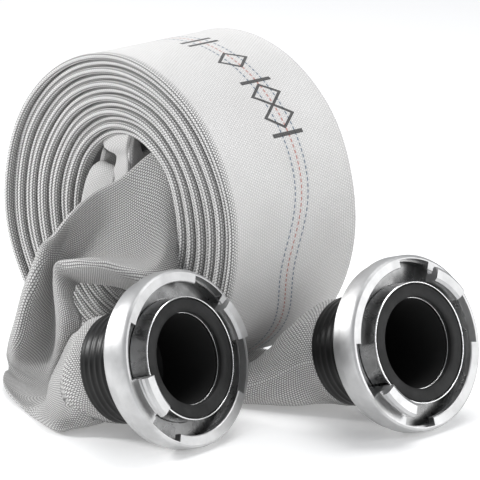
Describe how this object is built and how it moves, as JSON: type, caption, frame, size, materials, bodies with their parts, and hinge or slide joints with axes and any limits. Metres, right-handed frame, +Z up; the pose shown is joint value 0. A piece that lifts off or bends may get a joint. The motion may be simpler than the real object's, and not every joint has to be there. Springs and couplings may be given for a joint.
{
  "type": "rolled fire hose",
  "caption": "Woven layflat fire hose in a single upright roll, with a claw coupling on each end whose locking head spins on its spout.",
  "frame": {"origin": "middle of the part's outline on the floor it stands on", "axes": "+X the way both coupling mouths point, +Y along the roll's axis towards its back, +Z up"},
  "size_m": [0.3776, 0.2692, 0.2472],
  "materials": {
    "woven_polyester": "fine twill weave, undyed",
    "liner_rubber": "smooth",
    "cast_aluminium": "polished",
    "turned_aluminium": "turned",
    "seal_rubber": "matt",
    "sleeve_rubber": "satin",
    "spring_steel": "drawn",
    "binding_wire": "galvanised"
  },
  "bodies": {
    "hose": {"hose_roll": "woven_polyester", "inner_jacket": "woven_polyester", "outer_jacket": "woven_polyester", "inner_liner": "liner_rubber", "outer_liner": "liner_rubber", "inner_spout": "turned_aluminium", "outer_spout": "turned_aluminium", "inner_seal": "seal_rubber", "outer_seal": "seal_rubber", "inner_snap_ring": "spring_steel", "outer_snap_ring": "spring_steel", "inner_binding": "binding_wire", "outer_binding": "binding_wire", "inner_sleeve": "sleeve_rubber", "outer_sleeve": "sleeve_rubber"},
    "inner_lock": {"inner_head": "cast_aluminium"},
    "outer_lock": {"outer_head": "cast_aluminium"}
  },
  "joints": [
    {"name": "inner_lock_turn", "type": "hinge", "parent": "hose", "child": "inner_lock", "pos_m": [0.07825, -0.07079, 0.0642], "axis": [0.9505, 0.0781, 0.3007], "continuous": true},
    {"name": "outer_lock_turn", "type": "hinge", "parent": "hose", "child": "outer_lock", "pos_m": [0.16415, 0.07141, 0.0642], "axis": [0.9536, -0.015, 0.3007], "continuous": true}
  ]
}
